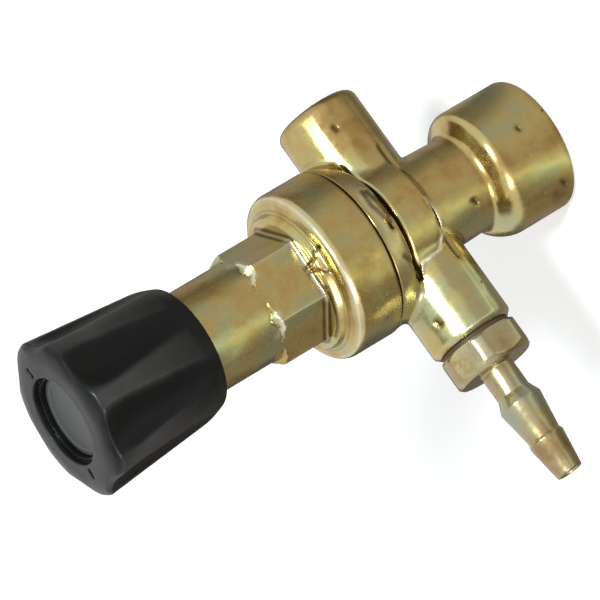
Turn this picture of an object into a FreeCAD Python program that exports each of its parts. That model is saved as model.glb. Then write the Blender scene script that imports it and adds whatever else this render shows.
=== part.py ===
import FreeCAD, Part
import math
import os
from FreeCAD import Vector

# Adjustable pressure regulator for a small gas bottle, in millimetres.
# Z runs up the main axis, from the centre of the inlet mouth (the origin) to the top of the knob.
# -X points along the outlet and its hose tail, +X along the blank boss of the forging.

# Fits between pieces
THREAD_PLAY = 0.05
SLIDE_PLAY = 0.1
SEAL_PLAY = 0.1
PIN_PLAY = 0.03

# Inlet socket, screwed over the valve of the bottle
SOCKET_RADIUS = 11.8
SHOULDER_OVER_FLOOR = 0.2
SOCKET_EDGE = 1.0
SHOULDER_HEIGHT = 1.9
INLET_THREAD_RADIUS = 4.5
RELIEF_RADIUS = 5.0
RELIEF_LENGTH = 3.0

# Neck, barrel and flange of the forged body
NECK_FOOT_RADIUS = 8.5
NECK_TOP_RADIUS = 9.0
BARREL_BELOW_CROSS = 3.0
BARREL_RADIUS = 10.8
BARREL_LENGTH = 7.0
BARREL_EDGE = 1.6
GROOVE_DEPTH = 0.5
FLANGE_CONE_WIDTH = 2.1
FLANGE_CONE_HEIGHT = 2.4
FLANGE_STEP = 0.15
SEAM_GAP = 0.3
FORGED_ROUND = 0.7

# Cross bosses
CROSS_HEIGHT = 29.4
BOSS_RADIUS = 7.5
OUTLET_FACE = 23.2
OUTLET_CHAMFER = 0.9
BLANK_FACE = 23.1
BLANK_ROUND = 1.7
OUTLET_THREAD_RADIUS = 4.9
OUTLET_THREAD_DEPTH = 9.0
OUTLET_DRILL_RADIUS = 1.5
RISER_INSET = 1.5
RISER_RADIUS = 1.2

# Diaphragm joint inside the bonnet
BONNET_WALL = 2.25
COLLAR_HEIGHT = 4.5
COLLAR_WALL = 2.4
CHAMBER_BELOW_SEAM = 1.5
DIAPHRAGM_THICKNESS = 1.2
SLIP_RING_THICKNESS = 0.5
SLIP_RING_WIDTH = 2.6
BONNET_CHAMBER_HEIGHT = 2.2

# Valve in the body
VALVE_BORE_RADIUS = 4.2
SEAT_THREAD_RADIUS = 3.05
SEAT_THREAD_LENGTH = 4.1
SEAT_HEAD_RADIUS = 4.0
SEAT_HEAD_HEIGHT = 2.0
SEAT_SLOT_WIDTH = 1.0
SEAT_SLOT_DEPTH = 0.8
SEAT_RECESS_RADIUS = 4.8
SEAT_RECESS_DEPTH = 4.5
NOZZLE_RADIUS = 1.7
NOZZLE_LENGTH = 0.6
ORIFICE_RADIUS = 1.0
PUSH_PIN_RADIUS = 0.7
VALVE_GAP = 0.05
POPPET_FLATS = 6.9
POPPET_LENGTH = 5.0
POPPET_EDGE = 0.4
PAD_RADIUS = 2.3
PAD_THICKNESS = 1.5
PAD_PROUD = 0.3
PIN_SOCKET_DEPTH = 2.0
VALVE_SPIGOT_RADIUS = 1.7
VALVE_SPIGOT_LENGTH = 1.2
VALVE_WIRE_RADIUS = 0.25
VALVE_COIL_RADIUS = 2.15
VALVE_COIL_TURNS = 4
VALVE_SPRING_LENGTH = 6.45
RETAINER_HEIGHT = 3.5
PASSAGE_RADIUS = 0.6
PASSAGE_CIRCLE = 2.6
PASSAGE_COUNT = 4
FILTER_THICKNESS = 1.0
SEAL_THICKNESS = 1.5
SEAL_HOLE_RADIUS = 3.3
DEPRESSOR_RADIUS = 0.9
DEPRESSOR_REACH = 2.7
DEPRESSOR_ENGAGEMENT = 3.0

# Plates on the diaphragm
LOWER_PLATE_CLEARANCE = 3.5
LOWER_PLATE_THICKNESS = 1.2
STUD_RADIUS = 1.9
RIVET_RADIUS = 2.7
RIVET_HEIGHT = 0.9
UPPER_PLATE_CLEARANCE = 2.2
UPPER_PLATE_THICKNESS = 1.8
SPRING_SPIGOT_RADIUS = 3.9
SPRING_SPIGOT_HEIGHT = 1.5

# Bonnet
BONNET_RADIUS = 15.15
BONNET_RIM_HEIGHT = 8.2
BONNET_CHAMFER = 0.7
SHOULDER_WIDTH = 3.25
DISH_DEPTH = 0.5
SHOULDER_RISE = 2.6
HEX_RISE = 0.9
HEX_LENGTH = 8.3
HEX_CORNER_RISE = 1.15
HEX_END_SLOPE = 0.6
HEX_TURN = -5.0
STEM_RADIUS = 9.15
STEM_LENGTH = 28.5
SPRING_BORE_RADIUS = 7.0
THREAD_BOSS_LENGTH = 6.0

# Adjusting screw, main spring and its upper button
SCREW_RADIUS = 3.95
SCREW_TIP_RADIUS = 2.4
SCREW_TIP_HEIGHT = 1.0
STOP_GAP = 0.2
STOP_RING_THICKNESS = 0.8
STOP_RING_RADIUS = 5.6
STOP_RING_OPENING = 2.4
STOP_GROOVE_RADIUS = 3.4
DRIVE_FLATS = 5.6
SPRING_WIRE_RADIUS = 1.1
SPRING_COIL_RADIUS = 5.3
SPRING_TURNS = 5
BUTTON_RADIUS = 6.6
BUTTON_THICKNESS = 2.7
BUTTON_DIMPLE_DEPTH = 0.8
ADJUST_TRAVEL = 5.0

# Knob
KNOB_OVERLAP = 7.3
KNOB_HEIGHT = 24.9
KNOB_COLLAR_RADIUS = 11.15
KNOB_COLLAR_HEIGHT = 0.5
KNOB_FOOT_RADIUS = 12.0
KNOB_FOOT_SLOPE = 2.3
KNOB_INSET = 0.65
KNOB_EDGE_ROUND = 1.0
CROWN_WIDTH = 4.4
CROWN_DROP = 1.5
CROWN_ROUND = 6.0
KNOB_LOBES = 7
KNOB_TURN = 14.4
LOBE_ROUND = 0.8
LOBE_LAND = 4.8
FLUTE_FOOT_DEPTH = 0.15
FLUTE_TOP_DEPTH = 2.3
FLUTE_FLARE = 2.0
STEM_CLEARANCE = 0.35
KNOB_FRONT_WALL = 4.8
KNOB_HUB_RADIUS = 6.6
HUB_CLEARANCE = 1.0
CAP_RADIUS = 7.2
CAP_THICKNESS = 1.4
CAP_DEPTH = 1.8
CAP_DISH = 0.3
RECESS_RADIUS = 7.9
SCREW_POCKET_RADIUS = 5.0
POCKET_DEPTH = 3.8
KNOB_WASHER_RADIUS = 4.4
KNOB_WASHER_THICKNESS = 0.8
KNOB_SCREW_RADIUS = 1.95
KNOB_SCREW_REACH = 6.0
KNOB_SCREW_HEAD_RADIUS = 3.6
KNOB_SCREW_HEAD_HEIGHT = 2.2
KNOB_SCREW_CROSS_DEPTH = 1.1
KNOB_SCREW_CROSS_WIDTH = 0.9

# Hose tail and its washer
WASHER_RADIUS = 6.5
WASHER_THICKNESS = 0.8
TAIL_HEX_FLATS = 14.0
TAIL_HEX_LENGTH = 5.3
TAIL_HEX_CORNER_RADIUS = 7.6
TAIL_HEX_TURN = -6.5
TAIL_HEX_CHAMFER = 1.0
TAIL_HEX_BEVEL = 0.5
TAIL_SPIGOT_LENGTH = 7.6
TAIL_BORE_RADIUS = 1.5
TAIL_NECK_RADIUS = 3.0
TAIL_NECK_LENGTH = 5.0
FIRST_BARB_RADIUS = 3.88
FIRST_BARB_BACK = 2.0
FIRST_BARB_LENGTH = 6.7
WAIST_RADIUS = 2.95
SECOND_BARB_RADIUS = 3.25
SECOND_BARB_BACK = 0.6
SECOND_BARB_LENGTH = 6.2
TAIL_TIP_RADIUS = 2.35
TAIL_TIP_ROUND = 0.5


def rounded_face(corners):
    """Flat face in the XZ plane through (x, z) corners; a third value rounds that corner with a tangent arc."""
    points = [Vector(corner[0], 0, corner[1]) for corner in corners]
    count = len(points)
    starts = []
    ends = []
    middles = []
    for index, corner in enumerate(corners):
        here = points[index]
        back = points[index - 1] - here
        ahead = points[(index + 1) % count] - here
        half = back.getAngle(ahead) / 2
        rounding = corner[2] if len(corner) > 2 else 0
        setback = min(rounding / math.tan(half), 0.45 * back.Length, 0.45 * ahead.Length)
        radius = setback * math.tan(half)
        back.normalize()
        ahead.normalize()
        starts.append(here + back * setback)
        ends.append(here + ahead * setback)
        if setback > 0:
            inward = (back + ahead).normalize()
            middles.append(here + inward * (radius / math.sin(half) - radius))
        else:
            middles.append(None)
    edges = []
    for index in range(count):
        if middles[index] is not None:
            edges.append(Part.Arc(starts[index], middles[index], ends[index]).toShape())
        edges.append(Part.LineSegment(ends[index], starts[(index + 1) % count]).toShape())
    return Part.Face(Part.Wire(edges))


def turned(corners):
    """Solid turned about Z from a (radius, height, rounding) outline."""
    return rounded_face(corners).revolve(Vector(0, 0, 0), Vector(0, 0, 1), 360)


def disc(radius, low, high):
    """Round bar on the Z axis between two heights."""
    return Part.makeCylinder(radius, high - low, Vector(0, 0, low))


def ring(outer, inner, low, high):
    """Round washer on the Z axis between two heights."""
    return disc(outer, low, high).cut(disc(inner, low, high))


def hexagon(flats, low, high, turn):
    """Hexagonal bar on the Z axis, a flat facing -Y when turn is 0."""
    corner = flats / math.sqrt(3)
    angles = [math.radians(60 * step + turn) for step in range(7)]
    points = [Vector(corner * math.cos(a), corner * math.sin(a), low) for a in angles]
    return Part.Face(Part.makePolygon(points)).extrude(Vector(0, 0, high - low))


def around(shape, count):
    """Copies of a shape spaced evenly about Z."""
    copies = []
    for step in range(count):
        copy = shape.copy()
        copy.rotate(Vector(0, 0, 0), Vector(0, 0, 1), 360 * step / count)
        copies.append(copy)
    return copies


def to_outlet(shape):
    """Lays a shape made along +Z onto the outlet axis, pointing to -X."""
    laid = shape.copy()
    laid.rotate(Vector(0, 0, 0), Vector(0, 1, 0), -90)
    laid.translate(Vector(0, 0, CROSS_HEIGHT))
    return laid


def coil_spring(coil_radius, wire_radius, low, high, turns):
    """Compression spring of round wire, its two ends ground flat."""
    pitch = (high - low) / turns
    path = Part.makeHelix(pitch, high - low, coil_radius)
    path.translate(Vector(0, 0, low))
    section = Part.Wire(Part.makeCircle(wire_radius, Vector(coil_radius, 0, low), Vector(0, 1, 0)))
    wire = Part.Wire(path).makePipeShell([section], True, True)
    slab = disc(coil_radius + 2 * wire_radius, low, high)
    return wire.common(slab).Solids[0]


# Radii that follow from the bonnet and its stem
FLANGE_RADIUS = BONNET_RADIUS - FLANGE_STEP
FLANGE_FOOT_RADIUS = FLANGE_RADIUS - FLANGE_CONE_WIDTH
COLLAR_RADIUS = BONNET_RADIUS - BONNET_WALL
CHAMBER_RADIUS = COLLAR_RADIUS - COLLAR_WALL
DIAPHRAGM_RADIUS = COLLAR_RADIUS - SEAL_PLAY
BONNET_CHAMBER_RADIUS = DIAPHRAGM_RADIUS - SLIP_RING_WIDTH
RISER_OFFSET = CHAMBER_RADIUS - RISER_INSET
LOWER_PLATE_RADIUS = CHAMBER_RADIUS - LOWER_PLATE_CLEARANCE
UPPER_PLATE_RADIUS = BONNET_CHAMBER_RADIUS - UPPER_PLATE_CLEARANCE
STEP_RING_RADIUS = BONNET_RADIUS - SHOULDER_WIDTH
KNOB_TOP_RADIUS = BONNET_RADIUS - KNOB_INSET
HEX_FLATS = 2 * STEM_RADIUS
HEX_CORNER_RADIUS = STEM_RADIUS + HEX_CORNER_RISE

# Heights that follow down from the cross bosses to the inlet
VALVE_BORE_TOP = CROSS_HEIGHT
PAD_TOP = VALVE_BORE_TOP - NOZZLE_LENGTH - VALVE_GAP
POPPET_TOP = PAD_TOP - PAD_PROUD
POPPET_FOOT = POPPET_TOP - POPPET_LENGTH
RETAINER_TOP = POPPET_FOOT - VALVE_SPRING_LENGTH
RETAINER_FOOT = RETAINER_TOP - RETAINER_HEIGHT
SOCKET_FLOOR = RETAINER_FOOT - FILTER_THICKNESS
SOCKET_HEIGHT = SOCKET_FLOOR + SHOULDER_OVER_FLOOR
INLET_THREAD_LENGTH = SOCKET_FLOOR - RELIEF_LENGTH
DEPRESSOR_TIP = SOCKET_FLOOR - DEPRESSOR_REACH
BARREL_START = CROSS_HEIGHT - BARREL_BELOW_CROSS

# Heights that follow up from the cross bosses to the knob
SEAT_SHOULDER = VALVE_BORE_TOP + SEAT_THREAD_LENGTH
CHAMBER_FLOOR = SEAT_SHOULDER + SEAT_RECESS_DEPTH
SEAM_HEIGHT = CHAMBER_FLOOR + CHAMBER_BELOW_SEAM
COLLAR_TOP = SEAM_HEIGHT + COLLAR_HEIGHT
DIAPHRAGM_TOP = COLLAR_TOP + DIAPHRAGM_THICKNESS
SLIP_RING_TOP = DIAPHRAGM_TOP + SLIP_RING_THICKNESS
LOWER_PLATE_FOOT = COLLAR_TOP - LOWER_PLATE_THICKNESS
UPPER_PLATE_TOP = DIAPHRAGM_TOP + UPPER_PLATE_THICKNESS
SPIGOT_TOP = UPPER_PLATE_TOP + SPRING_SPIGOT_HEIGHT
BONNET_FOOT = SEAM_HEIGHT + SEAM_GAP
BONNET_RIM_TOP = BONNET_FOOT + BONNET_RIM_HEIGHT
HEX_START = BONNET_RIM_TOP + SHOULDER_RISE + HEX_RISE
STEM_TOP = HEX_START + STEM_LENGTH
THREAD_BOSS_FOOT = STEM_TOP - THREAD_BOSS_LENGTH
STOP_RING_TOP = THREAD_BOSS_FOOT - STOP_GAP
STOP_RING_FOOT = STOP_RING_TOP - STOP_RING_THICKNESS
SCREW_TIP = STOP_RING_FOOT - SCREW_TIP_HEIGHT - STOP_RING_THICKNESS
BUTTON_TOP = SCREW_TIP + BUTTON_DIMPLE_DEPTH
BUTTON_FOOT = BUTTON_TOP - BUTTON_THICKNESS
SCREW_TOP = STEM_TOP + ADJUST_TRAVEL + HUB_CLEARANCE
KNOB_FOOT = STEM_TOP - KNOB_OVERLAP
KNOB_TOP = KNOB_FOOT + KNOB_HEIGHT
CAP_FLOOR = KNOB_TOP - CAP_DEPTH - CAP_THICKNESS
POCKET_FLOOR = CAP_FLOOR - POCKET_DEPTH

# Lengths along the outlet
TAIL_SEAT = OUTLET_FACE + WASHER_THICKNESS
TAIL_HEX_END = TAIL_SEAT + TAIL_HEX_LENGTH
TAIL_NECK_END = TAIL_HEX_END + TAIL_NECK_LENGTH
FIRST_BARB_CREST = TAIL_NECK_END + FIRST_BARB_BACK
WAIST_END = FIRST_BARB_CREST + FIRST_BARB_LENGTH
SECOND_BARB_CREST = WAIST_END + SECOND_BARB_BACK
TAIL_END = SECOND_BARB_CREST + SECOND_BARB_LENGTH + TAIL_TIP_ROUND


def body_forging():
    """Outside of the body: socket, neck, barrel and flange on one axis, two bosses across it."""
    shoulder_top = SOCKET_HEIGHT + SHOULDER_HEIGHT
    barrel_end = BARREL_START + BARREL_LENGTH
    trunk = turned([
        (0, 0),
        (SOCKET_RADIUS, 0, SOCKET_EDGE),
        (SOCKET_RADIUS, SOCKET_HEIGHT, FORGED_ROUND),
        (NECK_FOOT_RADIUS, shoulder_top, FORGED_ROUND),
        (NECK_TOP_RADIUS, BARREL_START, FORGED_ROUND),
        (BARREL_RADIUS, BARREL_START + FORGED_ROUND, BARREL_EDGE),
        (BARREL_RADIUS, barrel_end, FORGED_ROUND),
        (BARREL_RADIUS - GROOVE_DEPTH, barrel_end + FORGED_ROUND, FORGED_ROUND),
        (FLANGE_FOOT_RADIUS, barrel_end + 2 * FORGED_ROUND, FORGED_ROUND),
        (FLANGE_RADIUS, barrel_end + 2 * FORGED_ROUND + FLANGE_CONE_HEIGHT, BARREL_EDGE),
        (FLANGE_RADIUS, SEAM_HEIGHT),
        (COLLAR_RADIUS, SEAM_HEIGHT),
        (COLLAR_RADIUS, COLLAR_TOP),
        (0, COLLAR_TOP),
    ])
    outlet_boss = turned([
        (0, 0),
        (BOSS_RADIUS, 0),
        (BOSS_RADIUS, OUTLET_FACE - OUTLET_CHAMFER),
        (BOSS_RADIUS - OUTLET_CHAMFER, OUTLET_FACE),
        (0, OUTLET_FACE),
    ])
    blank_boss = turned([
        (0, 0),
        (BOSS_RADIUS, 0),
        (BOSS_RADIUS, BLANK_FACE, BLANK_ROUND),
        (0, BLANK_FACE),
    ])
    blank_boss.rotate(Vector(0, 0, 0), Vector(1, 0, 0), 180)
    return trunk.fuse([to_outlet(outlet_boss), to_outlet(blank_boss)])


def body_bores():
    """Everything drilled and bored out of the forging."""
    socket = turned([
        (0, 0),
        (INLET_THREAD_RADIUS, 0),
        (INLET_THREAD_RADIUS, INLET_THREAD_LENGTH),
        (RELIEF_RADIUS, INLET_THREAD_LENGTH),
        (RELIEF_RADIUS, SOCKET_FLOOR),
        (0, SOCKET_FLOOR),
    ])
    valve_bore = disc(VALVE_BORE_RADIUS, SOCKET_FLOOR, VALVE_BORE_TOP)
    seat_bore = disc(SEAT_THREAD_RADIUS + THREAD_PLAY, VALVE_BORE_TOP, SEAT_SHOULDER)
    seat_recess = disc(SEAT_RECESS_RADIUS, SEAT_SHOULDER, CHAMBER_FLOOR)
    chamber = disc(CHAMBER_RADIUS, CHAMBER_FLOOR, COLLAR_TOP)
    thread_end = OUTLET_FACE - OUTLET_THREAD_DEPTH
    outlet = to_outlet(disc(OUTLET_THREAD_RADIUS + THREAD_PLAY, thread_end, OUTLET_FACE))
    drill = to_outlet(disc(OUTLET_DRILL_RADIUS, RISER_OFFSET - OUTLET_DRILL_RADIUS, thread_end))
    riser = Part.makeCylinder(RISER_RADIUS, CHAMBER_FLOOR - CROSS_HEIGHT, Vector(-RISER_OFFSET, 0, CROSS_HEIGHT))
    return [socket, valve_bore, seat_bore, seat_recess, chamber, outlet, drill, riser]


def make_body():
    """Forged and bored brass body."""
    return body_forging().cut(body_bores())


def make_bonnet():
    """Brass bonnet: clamping rim, dished shoulder, hexagon for the spanner, round stem and its thread boss."""
    face_height = BONNET_RIM_TOP + BONNET_CHAMFER
    outside = turned([
        (0, BONNET_FOOT),
        (BONNET_RADIUS, BONNET_FOOT),
        (BONNET_RADIUS, BONNET_RIM_TOP, FORGED_ROUND),
        (BONNET_RADIUS - BONNET_CHAMFER, face_height, FORGED_ROUND),
        (STEP_RING_RADIUS + DISH_DEPTH, face_height + DISH_DEPTH, FORGED_ROUND),
        (STEP_RING_RADIUS, BONNET_RIM_TOP + SHOULDER_RISE, FORGED_ROUND),
        (STEM_RADIUS, HEX_START, FORGED_ROUND),
        (STEM_RADIUS, STEM_TOP - BONNET_CHAMFER),
        (STEM_RADIUS - BONNET_CHAMFER, STEM_TOP),
        (0, STEM_TOP),
    ])
    hex_end = HEX_START + HEX_LENGTH
    corner_turning = turned([
        (0, HEX_START - SHOULDER_RISE),
        (HEX_CORNER_RADIUS, HEX_START - SHOULDER_RISE),
        (HEX_CORNER_RADIUS, hex_end - HEX_END_SLOPE),
        (STEM_RADIUS, hex_end),
        (0, hex_end),
    ])
    spanner_hexagon = hexagon(HEX_FLATS, HEX_START - SHOULDER_RISE, hex_end, HEX_TURN)
    chamber_top = SLIP_RING_TOP + BONNET_CHAMBER_HEIGHT
    inside = turned([
        (0, BONNET_FOOT),
        (COLLAR_RADIUS + THREAD_PLAY, BONNET_FOOT),
        (COLLAR_RADIUS + THREAD_PLAY, SLIP_RING_TOP),
        (BONNET_CHAMBER_RADIUS, SLIP_RING_TOP),
        (BONNET_CHAMBER_RADIUS, chamber_top),
        (SPRING_BORE_RADIUS, chamber_top + BONNET_CHAMBER_RADIUS - SPRING_BORE_RADIUS),
        (SPRING_BORE_RADIUS, THREAD_BOSS_FOOT),
        (SCREW_RADIUS + THREAD_PLAY, THREAD_BOSS_FOOT),
        (SCREW_RADIUS + THREAD_PLAY, STEM_TOP),
        (0, STEM_TOP),
    ])
    return outside.fuse(spanner_hexagon.common(corner_turning)).cut(inside)


def make_diaphragm():
    """Rubber diaphragm, clamped all round between the collar and the slip ring."""
    return ring(DIAPHRAGM_RADIUS, STUD_RADIUS + SEAL_PLAY, COLLAR_TOP, DIAPHRAGM_TOP)


def make_slip_ring():
    """Thin brass ring that lets the bonnet turn on the diaphragm while it is tightened."""
    return ring(DIAPHRAGM_RADIUS, BONNET_CHAMBER_RADIUS, DIAPHRAGM_TOP, SLIP_RING_TOP)


def make_diaphragm_plate():
    """Plate under the diaphragm, with the stud that is riveted over above the spring plate."""
    plate = disc(LOWER_PLATE_RADIUS, LOWER_PLATE_FOOT, COLLAR_TOP)
    stud = disc(STUD_RADIUS, COLLAR_TOP, SPIGOT_TOP)
    rivet = turned([
        (0, SPIGOT_TOP),
        (RIVET_RADIUS, SPIGOT_TOP),
        (RIVET_RADIUS, SPIGOT_TOP + RIVET_HEIGHT, RIVET_HEIGHT),
        (0, SPIGOT_TOP + RIVET_HEIGHT),
    ])
    return plate.fuse([stud, rivet])


def make_spring_plate():
    """Plate on top of the diaphragm that carries the foot of the main spring."""
    return turned([
        (STUD_RADIUS, DIAPHRAGM_TOP),
        (UPPER_PLATE_RADIUS, DIAPHRAGM_TOP),
        (UPPER_PLATE_RADIUS, UPPER_PLATE_TOP, SEAL_PLAY),
        (SPRING_SPIGOT_RADIUS, UPPER_PLATE_TOP),
        (SPRING_SPIGOT_RADIUS, SPIGOT_TOP, SEAL_PLAY),
        (STUD_RADIUS, SPIGOT_TOP),
    ])


def make_push_pin():
    """Steel pin that carries the movement of the diaphragm down through the orifice."""
    return disc(PUSH_PIN_RADIUS, POPPET_TOP - PAD_THICKNESS - PIN_SOCKET_DEPTH, LOWER_PLATE_FOOT)


def make_valve_seat():
    """Brass seat screwed into the body from the diaphragm chamber, with its nozzle facing down."""
    outside = turned([
        (0, VALVE_BORE_TOP - NOZZLE_LENGTH),
        (ORIFICE_RADIUS + NOZZLE_LENGTH / 2, VALVE_BORE_TOP - NOZZLE_LENGTH),
        (NOZZLE_RADIUS, VALVE_BORE_TOP),
        (SEAT_THREAD_RADIUS, VALVE_BORE_TOP),
        (SEAT_THREAD_RADIUS, SEAT_SHOULDER),
        (SEAT_HEAD_RADIUS, SEAT_SHOULDER),
        (SEAT_HEAD_RADIUS, SEAT_SHOULDER + SEAT_HEAD_HEIGHT, SEAT_HEAD_HEIGHT / 8),
        (0, SEAT_SHOULDER + SEAT_HEAD_HEIGHT),
    ])
    orifice = disc(ORIFICE_RADIUS, VALVE_BORE_TOP - NOZZLE_LENGTH, SEAT_SHOULDER + SEAT_HEAD_HEIGHT)
    corner = Vector(-SEAT_HEAD_RADIUS, -SEAT_SLOT_WIDTH / 2, SEAT_SHOULDER + SEAT_HEAD_HEIGHT - SEAT_SLOT_DEPTH)
    slot = Part.makeBox(2 * SEAT_HEAD_RADIUS, SEAT_SLOT_WIDTH, SEAT_SLOT_DEPTH, corner)
    return outside.cut([orifice, slot])


def make_poppet():
    """Valve poppet of hexagon brass bar, guided by its corners, hollow on top for the sealing pad."""
    bar = hexagon(POPPET_FLATS, POPPET_FOOT, POPPET_TOP, 0)
    corner_radius = POPPET_FLATS / math.sqrt(3)
    turning = turned([
        (0, POPPET_FOOT),
        (corner_radius - POPPET_EDGE, POPPET_FOOT),
        (corner_radius, POPPET_FOOT + POPPET_EDGE),
        (corner_radius, POPPET_TOP - POPPET_EDGE),
        (corner_radius - POPPET_EDGE, POPPET_TOP),
        (0, POPPET_TOP),
    ])
    spigot = disc(VALVE_SPIGOT_RADIUS, POPPET_FOOT - VALVE_SPIGOT_LENGTH, POPPET_FOOT)
    pad_floor = POPPET_TOP - PAD_THICKNESS
    pad_socket = disc(PAD_RADIUS, pad_floor, POPPET_TOP)
    pin_socket = disc(PUSH_PIN_RADIUS, pad_floor - PIN_SOCKET_DEPTH, pad_floor)
    return bar.common(turning).fuse(spigot).cut([pad_socket, pin_socket])


def make_poppet_pad():
    """Rubber pad that closes the nozzle."""
    return ring(PAD_RADIUS, PUSH_PIN_RADIUS, POPPET_TOP - PAD_THICKNESS, PAD_TOP)


def make_poppet_spring():
    """Small spring that closes the valve."""
    return coil_spring(VALVE_COIL_RADIUS, VALVE_WIRE_RADIUS, RETAINER_TOP, POPPET_FOOT, VALVE_COIL_TURNS)


def make_valve_retainer():
    """Screwed plug under the valve: gas passages round the depressor, a spigot for the valve spring."""
    plug = disc(VALVE_BORE_RADIUS - THREAD_PLAY, RETAINER_FOOT, RETAINER_TOP)
    spigot = disc(VALVE_SPIGOT_RADIUS, RETAINER_TOP, RETAINER_TOP + VALVE_SPIGOT_LENGTH)
    pin_hole = disc(DEPRESSOR_RADIUS + PIN_PLAY, RETAINER_FOOT, RETAINER_FOOT + DEPRESSOR_ENGAGEMENT)
    passage = Part.makeCylinder(PASSAGE_RADIUS, RETAINER_HEIGHT, Vector(PASSAGE_CIRCLE, 0, RETAINER_FOOT))
    return plug.fuse(spigot).cut([pin_hole] + around(passage, PASSAGE_COUNT))


def make_inlet_filter():
    """Sintered bronze disc under the retainer, with a hole for the depressor."""
    return ring(VALVE_BORE_RADIUS - THREAD_PLAY, DEPRESSOR_RADIUS + PIN_PLAY, SOCKET_FLOOR, RETAINER_FOOT)


def make_inlet_seal():
    """Rubber washer on the floor of the socket, pressed on by the valve of the bottle."""
    return ring(RELIEF_RADIUS - SEAL_PLAY, SEAL_HOLE_RADIUS, SOCKET_FLOOR - SEAL_THICKNESS, SOCKET_FLOOR)


def make_depressor_pin():
    """Pin in the retainer that opens the valve of the bottle."""
    end = RETAINER_FOOT + DEPRESSOR_ENGAGEMENT
    return turned([
        (0, DEPRESSOR_TIP),
        (DEPRESSOR_RADIUS, DEPRESSOR_TIP, DEPRESSOR_RADIUS / 2),
        (DEPRESSOR_RADIUS, end),
        (0, end),
    ])


def make_main_spring():
    """Strong spring between the diaphragm and the adjusting screw."""
    return coil_spring(SPRING_COIL_RADIUS, SPRING_WIRE_RADIUS, UPPER_PLATE_TOP, BUTTON_FOOT, SPRING_TURNS)


def make_spring_button():
    """Turned button on top of the main spring, dimpled for the tip of the screw."""
    button = turned([
        (0, BUTTON_FOOT - SPRING_SPIGOT_HEIGHT),
        (SPRING_SPIGOT_RADIUS, BUTTON_FOOT - SPRING_SPIGOT_HEIGHT, SEAL_PLAY),
        (SPRING_SPIGOT_RADIUS, BUTTON_FOOT),
        (BUTTON_RADIUS, BUTTON_FOOT),
        (BUTTON_RADIUS, BUTTON_TOP, SEAL_PLAY),
        (0, BUTTON_TOP),
    ])
    dimple_radius = SCREW_TIP_RADIUS + 2 * SLIDE_PLAY
    dimple = turned([
        (0, SCREW_TIP),
        (dimple_radius, SCREW_TIP),
        (dimple_radius + SLIDE_PLAY, BUTTON_TOP),
        (0, BUTTON_TOP),
    ])
    return button.cut(dimple)


def make_adjusting_screw():
    """Adjusting screw: tip, groove for the stop ring, threaded shank and hexagonal drive for the knob."""
    screw_foot = SCREW_TIP + SCREW_TIP_HEIGHT
    shank = turned([
        (0, SCREW_TIP),
        (SCREW_TIP_RADIUS, SCREW_TIP),
        (SCREW_TIP_RADIUS, screw_foot),
        (SCREW_RADIUS, screw_foot),
        (SCREW_RADIUS, STOP_RING_FOOT),
        (STOP_GROOVE_RADIUS, STOP_RING_FOOT),
        (STOP_GROOVE_RADIUS, STOP_RING_TOP),
        (SCREW_RADIUS, STOP_RING_TOP),
        (SCREW_RADIUS, SCREW_TOP),
        (0, SCREW_TOP),
    ])
    drive = hexagon(DRIVE_FLATS, SCREW_TOP, POCKET_FLOOR, 0)
    washer_seat = POCKET_FLOOR + KNOB_WASHER_THICKNESS
    tapped_hole = disc(KNOB_SCREW_RADIUS + THREAD_PLAY, washer_seat - KNOB_SCREW_REACH, POCKET_FLOOR)
    return shank.fuse(drive).cut(tapped_hole)


def make_stop_ring():
    """Open spring clip in the groove of the screw, which meets the thread boss and keeps the screw in."""
    clip = ring(STOP_RING_RADIUS, STOP_GROOVE_RADIUS + PIN_PLAY, STOP_RING_FOOT, STOP_RING_TOP)
    opening = Part.makeBox(
        STOP_RING_RADIUS, STOP_RING_OPENING, STOP_RING_THICKNESS,
        Vector(0, -STOP_RING_OPENING / 2, STOP_RING_FOOT))
    return clip.cut(opening)


def knob_flute():
    """Round cutter for the flute facing -Y: it leans out with the taper and flares where it meets the front.
    At the front it passes through the bottom of the flute and through the edges of the lands beside it."""
    top_bottom = KNOB_TOP_RADIUS - FLUTE_TOP_DEPTH
    foot_bottom = KNOB_FOOT_RADIUS - FLUTE_FOOT_DEPTH
    half_angle = math.pi / KNOB_LOBES - math.asin(LOBE_LAND / 2 / KNOB_TOP_RADIUS)
    rise = KNOB_TOP_RADIUS * math.cos(half_angle) - top_bottom
    flute_radius = (KNOB_TOP_RADIUS ** 2 - top_bottom ** 2) / (2 * rise) - top_bottom
    flange_radius = flute_radius + 3 * FLUTE_FLARE
    flute = turned([
        (0, -KNOB_HEIGHT / 4),
        (flute_radius, -KNOB_HEIGHT / 4),
        (flute_radius, KNOB_HEIGHT, FLUTE_FLARE),
        (flange_radius, KNOB_HEIGHT),
        (flange_radius, 1.25 * KNOB_HEIGHT),
        (0, 1.25 * KNOB_HEIGHT),
    ])
    lean = math.degrees(math.atan((top_bottom - foot_bottom) / KNOB_HEIGHT))
    flute.rotate(Vector(0, 0, 0), Vector(1, 0, 0), lean)
    flute.translate(Vector(0, -foot_bottom - flute_radius, KNOB_FOOT))
    return flute


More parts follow.
